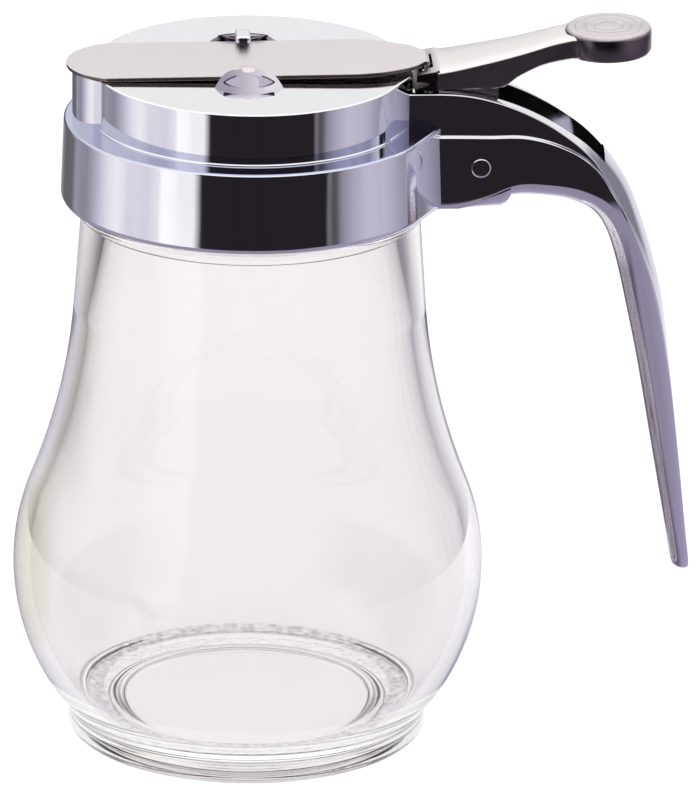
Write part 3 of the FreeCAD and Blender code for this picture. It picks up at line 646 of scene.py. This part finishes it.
handleShape = {
    "perStation": 7, "rimHalf": 6.4, "edge": 0.2, "stepRise": 0.2,
    "convexStart": 7.0, "convexEnd": 9.5, "convex": 0.6,
    # the lever's slot, seen from the side, open at the top
    "slotHalf": 4.45, "slotTop": 112, "slotStart": 24.7, "slotEnd": 53.8, "slotBackLow": 92.0,
    "slotFloor": [(24.7, 88.4), (38.5, 88.4), (41.5, 90.6), (45.0, 90.5), (48.0, 90.0), (50.5, 89.4)],
    # the tab under the root: X, and how low its flat side runs there
    "tab": [(25.0, 86.05), (31.4, 86.05), (33.4, 86.7), (35.0, 87.4), (37.8, 88.5), (38.7, 88.9),
            (39.3, 89.2)],
    "tabRound": [0.0, 0.0, 0.0, 0.0, 0.1, 0.55, 1.5], "tabHalf": 7.28, "tabKeel": 5.6, "tabBottom": 86.0,
    "tip": [(0.6, 0.99), (1.2, 0.95), (1.7, 0.86), (1.95, 0.7), (2.0, 0.45)],     # drop, and size there
}


def stationAt(where):
    station = {}
    for key in handleStations[0]:
        values = [entry[key] for entry in handleStations]
        if key in ("rim", "inner"):
            station[key] = tuple(smoothThrough([value[axis] for value in values], where) for axis in (0, 1))
        else:
            station[key] = max(smoothThrough(values, where), 0.0)
    return station


def handleRing(shape, station, convex, size=1.0, drop=0.0):
    rim = Vector((station["rim"][0], 0, station["rim"][1]))
    inner = Vector((station["inner"][0], 0, station["inner"][1]))
    depth = (inner - rim).length
    inward = (inner - rim).normalized()
    half = station["half"]
    edge = shape["edge"]
    step = station["step"]
    # the rim is narrower than the side where there is a step
    top = half + (min(shape["rimHalf"], half) - half) * min(step / 0.5, 1.0)
    side = []
    for part in range(5):      # the rim's small rounding
        angle = pi / 2 * part / 4
        side.append((top - edge + edge * sin(angle), edge - edge * cos(angle)))
    for part in range(5):      # the rounded step out to the proud side
        ease = 0.5 - 0.5 * cos(pi * part / 4)
        side.append((top + (half - top) * ease, max(step, edge + 0.02) + shape["stepRise"] * part / 4))
    fall = min(station["fall"], depth - side[-1][1] - 0.05)
    turn = station["turn"]
    first = side[-1][1]
    for part in range(1, 8):   # the side's middle
        side.append((half, first + (depth - fall - first) * part / 8))
    for part in range(9):      # the inner rounding
        angle = pi / 2 * part / 8
        side.append((half - turn + turn * cos(angle), depth - fall + fall * sin(angle)))
    # lower down the whole side swells between its edges
    side = [(y - shape["convex"] * convex * (1 - 2 * d / depth) ** 2 if d < depth - 0.5 * fall else y, d)
            for y, d in side]
    top -= shape["convex"] * convex
    back = []
    for part in range(1, 12):  # the crowned back, from the far edge to the near one
        across = 1 - 2 * part / 12
        back.append((across * (top - edge), -station["crown"] * (1 - across ** 2)))
    middle = [(0.0, depth)]
    loop = side + middle + [(-y, d) for y, d in reversed(side)]
    loop += [(-y, d) for y, d in back]
    points = []
    for y, d in loop:
        d = depth / 2 + (d - depth / 2) * size
        place = rim + inward * d
        points.append((place.x + drop * 0.1, y * (1 - (1 - size) * 0.45), place.z - drop))
    return points


def makeHandle(shape):
    last = len(handleStations) - 1
    count = last * shape["perStation"]
    rings = []
    for step in range(count + 1):
        where = last * step / count
        convex = (where - shape["convexStart"]) / (shape["convexEnd"] - shape["convexStart"])
        rings.append(handleRing(shape, stationAt(where), min(max(convex, 0), 1)))
    for drop, size in shape["tip"]:
        rings.append(handleRing(shape, handleStations[-1], 1, size, drop))
    handle = finishPiece("handle", lofted(rings), handleChromePaintedShade, "top", sharp=38)
    slot = [(shape["slotStart"], shape["slotTop"])] + shape["slotFloor"]
    slot += [(shape["slotEnd"], shape["slotBackLow"]), (shape["slotEnd"] + 0.8, shape["slotTop"])]
    cutter = raised(slot, -shape["slotHalf"], shape["slotHalf"], onSide=True)
    carve(handle, finishPiece("slot", cutter, chrome, None), sharp=38)
    rings = []
    for (x, low), lift in zip(shape["tab"], shape["tabRound"]):
        keel = shape["tabBottom"] + lift
        low = max(low, keel + 0.02)
        near = [(shape["tabHalf"], 90.5), (shape["tabHalf"], low)]
        for part in range(1, 8):
            angle = pi / 2 * part / 7
            near.append((shape["tabKeel"] + (shape["tabHalf"] - shape["tabKeel"]) * cos(angle),
                         low + (keel - low) * sin(angle)))
        rings.append([(x, -y, z) for y, z in near] + [(x, y, z) for y, z in reversed(near)])
    finishPiece("handle_tab", lofted(rings), chrome, "top")


makeHandle(handleShape)
print("handle made")


# Gate
gateShape = {
    "half": gateHigh.y, "tip": gateLow.x, "endRadius": 8.9, "thickness": 0.55, "tilt": 0.7,
    "shoulder": 15.8, "tongueX": gateHigh.x, "tongueHalf": 2.9, "drop": 2.9, "rest": 0.12, "skin": 0.14,
    "under": 0.12, "hookEdge": 0.18,
}


def makeGate(shape):
    half = shape["half"]
    spread = asin(half / shape["endRadius"]) * 180 / pi
    end = arcPoints((shape["tip"] + shape["endRadius"], 0), shape["endRadius"],
                    180 - spread, 180 + spread, 49)
    bend = [(shape["shoulder"], half), (shape["shoulder"] + 4.0, 0.9 * half),
            (shape["shoulder"] + 8.4, 0.62 * half), (shape["tongueX"] - 0.8, shape["tongueHalf"])]
    curve = []
    for step in range(25):
        where = 3 * step / 24
        curve.append((smoothThrough([x for x, y in bend], where), smoothThrough([y for x, y in bend], where)))
    far = curve + [(shape["tongueX"] - 0.1, shape["tongueHalf"])]
    outline = end + [(x, -y) for x, y in far] + far[::-1]
    thickness = shape["thickness"]
    work = raised(outline, thickness - shape["skin"], thickness, [(thickness, 0.05)])
    # a dark layer from the disc up inside the gate's skin, showing as its edge and as painted shadow in the
    # gap below the gate
    edge = raised([(x * 0.9985, y * 0.996) for x, y in outline], -shape["under"], thickness - 0.05,
                  [(-shape["under"], 0.1)])
    hook = roundedBlock((thickness, 2 * shape["tongueHalf"], shape["drop"]), shape["hookEdge"], 3)
    bmesh.ops.translate(hook, verts=hook.verts, vec=(shape["tongueX"] - thickness / 2, 0,
                                                     thickness - shape["drop"] / 2))
    tilt = Matrix.Rotation(radians(-shape["tilt"]), 3, "Y")
    for mesh, name, material in ((work, "gate", gateSteel), (edge, "gate_edge_painted_shade", gateEdgePaintedShade),
                                 (hook, "gate_tongue", gateSteel)):
        bmesh.ops.rotate(mesh, verts=mesh.verts, cent=(shape["tip"], 0, 0), matrix=tilt)
        bmesh.ops.translate(mesh, verts=mesh.verts, vec=(0, 0, topShape["disc"] + shape["rest"]))
        piece = finishPiece(name, mesh, material, "gate")
        if name == "gate":
            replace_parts(piece, "gate_plate")


makeGate(gateShape)
print("gate made")


# Thumb lever
leverShape = {
    "top": [(27.9, 107.6), (34.7, 108.8), (40.8, 110.2), (47.6, 112.0), (51.0, 112.55), (55.0, 112.85)],
    "bottom": [(27.9, 104.5), (34.0, 104.5), (38.0, 104.6), (40.2, 106.1), (43.6, 107.7), (47.9, 108.7),
               (51.5, 109.0), (55.0, 109.1)],
    "half": [(27.9, 5.85), (36.0, 5.1), (43.0, 4.3), (47.3, 4.05), (49.2, 4.3), (50.8, 5.1), (52.2, 5.9),
             (55.0, 6.2)],
    "skin": 1.5, "edge": 0.75, "steps": 60,
    "padX": leverHigh.x - 6.6, "padRadius": 6.6, "padTop": 113.0, "padSkirt": 4.1, "padEdge": 0.9,
    "grooves": (2.1, 3.5, 5.1), "grooveWidth": 0.32, "grooveDepth": 0.16, "padTilt": -1.5,
    "legOut": 4.1, "legThickness": 1.5, "legFront": 28.0, "legBack": 37.4, "legEnd": 3.2,
    # where the fork meets the arm, and how far down it shows
    "forkBack": 28.3, "forkLow": 103.5,
    # the prongs: plan corners of one side, outside and then beside the gate's tip
    "prongOuter": [(28.0, 5.85), (24.8, 6.0)],
    "prongInner": [(24.8, 5.3), (25.5, 4.6), (26.3, 3.65), (27.4, 3.3)],
    "prongLow": 105.9, "prongTop": 107.6, "prongFall": 0.17,
}


def valueAt(points, x):
    # A smooth curve through (x, value) points
    for number in range(len(points) - 1):
        if x <= points[number + 1][0] or number == len(points) - 2:
            span = points[number + 1][0] - points[number][0]
            return smoothThrough([value for place, value in points], number + (x - points[number][0]) / span)


def leverRing(shape, x):
    top = valueAt(shape["top"], x)
    bottom = valueAt(shape["bottom"], x)
    half = valueAt(shape["half"], x)
    edge = shape["edge"]
    skin = shape["skin"]
    corner = [(half - edge + edge * cos(radians(a)), top - edge + edge * sin(radians(a)))
              for a in (0, 22, 45, 68, 90)]
    right = [(half + 0.05, bottom + 0.25), (half, bottom + 0.6)] + corner
    left = [(-y, z) for y, z in reversed(right)]
    inside = [(-half + 0.25, bottom), (-half + skin, bottom + 0.1), (-half + skin, top - skin - 0.3),
              (-half + skin + 0.5, top - skin), (half - skin - 0.5, top - skin),
              (half - skin, top - skin - 0.3), (half - skin, bottom + 0.1), (half - 0.25, bottom)]
    return [(x, y, z) for y, z in right + left + inside]


def makeLever(shape):
    start = shape["top"][0][0]
    end = shape["top"][-1][0]
    places = [start + (end - start) * step / shape["steps"] for step in range(shape["steps"] + 1)]
    arm = lofted([leverRing(shape, x) for x in places])
    piece = finishPiece("lever_arm", arm, leverNickel, "lever", sharp=40)
    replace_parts(piece, "thumb_lever")

    # The fork that takes the gate's tongue keeps the CAD piece's own front, which clears the gate
    fork = bmesh.new()
    fork.from_mesh(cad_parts["thumb_lever"].data)
    fork.transform(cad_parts["thumb_lever"].matrix_world)
    for vertex in fork.verts:
        vertex.co /= mm
    bmesh.ops.remove_doubles(fork, verts=fork.verts, dist=1e-3)
    for place, normal in (((shape["forkBack"], 0, 0), (1, 0, 0)), ((0, 0, shape["forkLow"]), (0, 0, -1))):
        cut = bmesh.ops.bisect_plane(fork, geom=fork.verts[:] + fork.edges[:] + fork.faces[:],
                                     plane_co=place, plane_no=normal, clear_outer=True)
        rim = [item for item in cut["geom_cut"] if isinstance(item, bmesh.types.BMEdge)]
        bmesh.ops.holes_fill(fork, edges=rim, sides=0)
    finishPiece("lever_fork", fork, forkNickelPaintedShade, "lever", sharp=25)
    # Two prongs beside the gate's tip, which pass it when the lever swings
    half = shape["prongOuter"] + shape["prongInner"]
    back = half[0][0]
    top = shape["prongTop"]
    mirrored = [(x, -y) for x, y in reversed(half)]
    prongs = raised(mirrored[-2:] + half + mirrored[:-2], shape["prongLow"], top, [(top, 0.1)])
    for vertex in prongs.verts:
        if vertex.co.z > top - 0.6:
            vertex.co.z -= (back - vertex.co.x) * shape["prongFall"]
    finishPiece("lever_prongs", prongs, forkNickelPaintedShade, "lever")

    pad = []
    radius = shape["padRadius"]
    for groove in shape["grooves"]:
        width = shape["grooveWidth"] / 2
        pad += [(groove - 1.6 * width, 0), (groove - width, -0.2 * shape["grooveDepth"]),
                (groove, -shape["grooveDepth"]), (groove + width, -0.2 * shape["grooveDepth"]),
                (groove + 1.6 * width, 0)]
    dimple = [(0, -0.18), (0.18, -0.14), (0.34, 0)]
    edge = shape["padEdge"]
    rim = arcPoints((radius - edge, -edge), edge, 90, 0, 9)
    skirt = [(radius - 0.05, -shape["padSkirt"] + 0.5), (radius - 0.35, -shape["padSkirt"]),
             (radius - 1.4, -shape["padSkirt"]), (radius - 1.7, -shape["padSkirt"] + 0.4),
             (radius - 1.7, -2.0), (radius - 2.2, -1.6), (0, -1.6)]
    work = spun(dimple + pad + rim + skirt, 128)
    bmesh.ops.rotate(work, verts=work.verts, matrix=Matrix.Rotation(radians(shape["padTilt"]), 3, "Y"))
    bmesh.ops.translate(work, verts=work.verts, vec=(shape["padX"], 0, shape["padTop"]))
    finishPiece("thumb_pad", work, padNickelPaintedShade, "lever", sharp=40)

    pivotX = (pinLow.x + pinHigh.x) / 2
    pivotZ = (pinLow.z + pinHigh.z) / 2
    leg = [(shape["legFront"], 107.0), (shape["legFront"], 97.5)]
    leg += arcPoints((pivotX, pivotZ), shape["legEnd"], 180, 360, 25)
    leg += [(shape["legBack"], 96.0), (shape["legBack"], 107.0)]
    for side in (-1, 1):
        middle = side * (shape["legOut"] - shape["legThickness"] / 2)
        ends = (middle - shape["legThickness"] / 2, middle + shape["legThickness"] / 2)
        plate = raised(leg, -ends[1], -ends[0], onSide=True)
        finishPiece(f"lever_leg_{'near' if side < 0 else 'far'}", plate, leverNickel, "lever")


makeLever(leverShape)
print("lever made")


# Pivot pin
pinShape = {"proud": 0.12, "edge": 0.3, "centreMark": 0.6, "steps": 64}


def makePin(shape):
    radius = (pinHigh.x - pinLow.x) / 2
    half = pinHigh.y + shape["proud"]
    edge = shape["edge"]
    mark = shape["centreMark"]
    near = arcPoints((radius - edge, -half + edge), edge, -90, 0, 7)
    far = arcPoints((radius - edge, half - edge), edge, 0, 90, 7)
    work = spun([(0, -half), (mark, -half)] + near + far + [(mark, half), (0, half)], shape["steps"])
    bmesh.ops.rotate(work, verts=work.verts, matrix=Matrix.Rotation(radians(90), 3, "X"))
    bmesh.ops.translate(work, verts=work.verts, vec=((pinLow.x + pinHigh.x) / 2, 0,
                                                     (pinLow.z + pinHigh.z) / 2))
    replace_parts(finishPiece("pin", work, pinSteel, "top"), "pivot_pin")


makePin(pinShape)
print("pin made")

# The spring and the seal keep their CAD shape
for node, material in (("return_spring", springSteel), ("neck_gasket", sealRubber)):
    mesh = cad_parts[node].data
    mesh.materials.clear()
    mesh.materials.append(material)
print("spring and seal finished")


# Floor, light and the surround that the chrome shows
studio = {
    "floorSize": 4000.0, "world": (1.0, 1.0, 1.0, 1), "worldStrength": 1.22,
    "surroundRadius": 150.0, "surroundTop": 185.0, "tableTop": 20.0, "tableHole": 34.0,
    # how light the table and the surround are, by degrees round from the front, positive towards the handle
    "table": [(-180, 0.36), (-140, 0.38), (-110, 0.45), (-70, 0.45), (-45, 0.40), (-22, 0.39), (18, 0.37),
              (34, 0.40), (60, 0.46), (110, 0.60), (124, 0.90), (146, 0.92), (152, 0.36), (180, 0.36)],
    "round": [(-180, 0.60), (-168, 0.60), (-161, 0.40), (-148, 0.15), (-132, 0.17), (-126, 0.42),
              (-112, 0.36), (-106, 0.50), (-100, 0.70), (-92, 0.90), (-84, 1.0), (-76, 0.90), (-62, 0.84),
              (-54, 0.96), (-53, 1.18), (-34, 1.05), (-29.6, 0.021), (40.0, 0.021), (41.2, 0.30),
              (44.0, 0.09), (46.5, 0.13), (49, 0.34), (56, 0.54), (66, 0.70), (78, 0.68), (92, 0.50),
              (104, 0.30), (118, 0.28), (124, 0.85), (148, 0.95), (180, 0.60)],
    # how far their greys lean to violet, in red and green
    "wallLean": (0.17, 0.20), "tableLean": (0.20, 0.28),
    "backHigh": (0.955, 0.957, 0.942, 1), "frontTop": 0.173, "climb": 0.014,
    "sideRadius": 160.0, "sideTop": 130.0, "sideSpan": (38, 158),
    "leftSide": (0.07, 0.055, 0.075, 1), "leftLow": (0.22, 0.21, 0.11, 1),
    "rightSide": (0.24, 0.20, 0.25, 1), "rightLow": (0.34, 0.30, 0.36, 1),
}


def lavender(light, red, green):
    # Greys between black and white lean to violet
    lean = max(4 * light * (1 - light), 0)
    dark = 0.22 if light < 0.05 else 0
    return (light * (1 - red * lean), light * (1 - green * lean - dark), light, 1)


def makeFloor(shape):
    work = bmesh.new()
    bmesh.ops.create_grid(work, x_segments=1, y_segments=1, size=shape["floorSize"] / 2)
    finish = Finish("pale floor")
    speckle = finish.add("TexNoise", Vector=finish.place(), Scale=3.0, Detail=1.0)
    colour = finish.blend(speckle, (0.96, 0.96, 0.965, 1), (0.95, 0.95, 0.955, 1))
    finish.surface(Base_Color=colour, Roughness=0.9)
    finishPiece("floor", work, finish.material, None)


def hideExcept(piece, glossy=False, transmission=False):
    piece.visible_camera = False
    piece.visible_diffuse = False
    piece.visible_shadow = False
    piece.visible_glossy = glossy
    piece.visible_transmission = transmission


def makeSurround(shape):
    # A tall round screen and a ring on the table, which only glossy rays see
    radius = shape["surroundRadius"]
    work = bmesh.new()
    bmesh.ops.create_circle(work, cap_ends=False, radius=radius, segments=128)
    pushed = bmesh.ops.extrude_edge_only(work, edges=work.edges[:])
    risen = [item for item in pushed["geom"] if isinstance(item, bmesh.types.BMVert)]
    bmesh.ops.translate(work, verts=risen, vec=(0, 0, shape["surroundTop"]))
    bmesh.ops.create_circle(work, cap_ends=False, radius=radius, segments=128)
    bmesh.ops.create_circle(work, cap_ends=False, radius=shape["tableHole"], segments=128)
    rings = [edge for edge in work.edges if not edge.link_faces]
    bmesh.ops.bridge_loops(work, edges=rings)
    bmesh.ops.translate(work, verts=work.verts, vec=(0, 0, 0.5))
    finish = Finish("surround")
    x = finish.split(finish.place(), 0)
    y = finish.split(finish.place(), 1)
    z = finish.split(finish.place(), 2)
    streaks = finish.add("TexNoise", Vector=finish.place((1, 1, 0.12)), Scale=90.0, Detail=3.0)
    clouds = finish.add("TexNoise", Vector=finish.place((1, 1, 0.5)), Scale=30.0, Detail=4.0)
    turn = x.math("ARCTAN2", x, 0 - y) * (1 / (2 * pi)) + 0.5 + (streaks - 0.5) * 0.003
    walls, table = (finish.add("ValToRGB", {"stops": [((angle + 180) / 360, lavender(light, *lean))
                                                      for angle, light in shape[part]]}, Fac=turn)
                    for part, lean in (("round", shape["wallLean"]), ("table", shape["tableLean"])))
    walls = finish.blend(((clouds - 0.52) * 4.0).clamp(), walls, finish.blend(0.82, (0, 0, 0, 1), walls))
    behind = (y * 40.0 + 0.5).clamp() * ((z - 0.125) * 60.0).clamp()
    colour = finish.blend(behind, walls, shape["backHigh"])
    colour = finish.blend(((z - shape["frontTop"]) * 300.0).clamp() * (1 - behind), colour, (1, 1, 1, 1))
    # the table's reflection climbs a little towards the handle
    climb = ((turn - 0.561) * 0.40).math("MAXIMUM", 0.0).math("MINIMUM", shape["climb"])
    colour = finish.blend(((z - climb - shape["tableTop"] * mm) * 150.0).clamp(), table, colour)
    finish.surface(Base_Color=(0, 0, 0, 1), Roughness=1.0, Specular_IOR_Level=0.0,
                   Emission_Color=colour, Emission_Strength=1.0)
    hideExcept(finishPiece("surround", work, finish.material, None), glossy=True)


def makeSides(shape):
    # Two grey screens that only show through the glass, so that its walls get darker edges
    for side, name in ((-1, "left"), (1, "right")):
        finish = Finish(name + " screen")
        cloud = finish.add("TexNoise", Vector=finish.place(), Scale=9.0, Detail=2.0)
        tint = shape[name + "Side"]
        colour = finish.blend(cloud, tint, [1.35 * shade for shade in tint[:3]] + [1])
        x, y, z = (finish.split(finish.place(), axis) for axis in range(3))
        turn = x.math("ARCTAN2", x * side, 0 - y) * (180 / pi)
        middle = (shape["sideSpan"][0] + shape["sideSpan"][1]) / 2
        reach = (shape["sideSpan"][1] - shape["sideSpan"][0]) / 2
        away = (turn - middle).math("ABSOLUTE", turn - middle, 0) * (1 / reach)
        soft = ((away - 0.45) * 1.9).clamp()
        high = ((z - 0.085) * 25.0).clamp()
        low = ((0.050 - z) * 40.0).clamp()
        colour = finish.blend(low, colour, shape[name + "Low"])
        colour = finish.blend(soft.math("MAXIMUM", soft, high), colour, (1.15, 1.15, 1.15, 1))
        finish.surface(Base_Color=(0, 0, 0, 1), Roughness=1.0, Specular_IOR_Level=0.0,
                       Emission_Color=colour, Emission_Strength=1.0)
        start, end = shape["sideSpan"]
        row = arcPoints((0, 0), shape["sideRadius"], side * start - 90, side * end - 90, 25)
        work = bmesh.new()
        low, high = ([work.verts.new((x, y, z)) for x, y in row] for z in (0.5, shape["sideTop"]))
        for number in range(len(row) - 1):
            work.faces.new((low[number], low[number + 1], high[number + 1], high[number]))
        hideExcept(finishPiece(name + "_screen", work, finish.material, None), transmission=True)


def makeStudio(shape):
    makeFloor(shape)
    makeSurround(shape)
    makeSides(shape)
    world = bpy.data.worlds.new("studio")
    world.use_nodes = True
    back = world.node_tree.nodes["Background"]
    back.inputs["Color"].default_value = shape["world"]
    back.inputs["Strength"].default_value = shape["worldStrength"]
    bpy.context.scene.world = world
    bpy.context.scene.view_settings.view_transform = "Standard"


makeStudio(studio)
print("studio made")
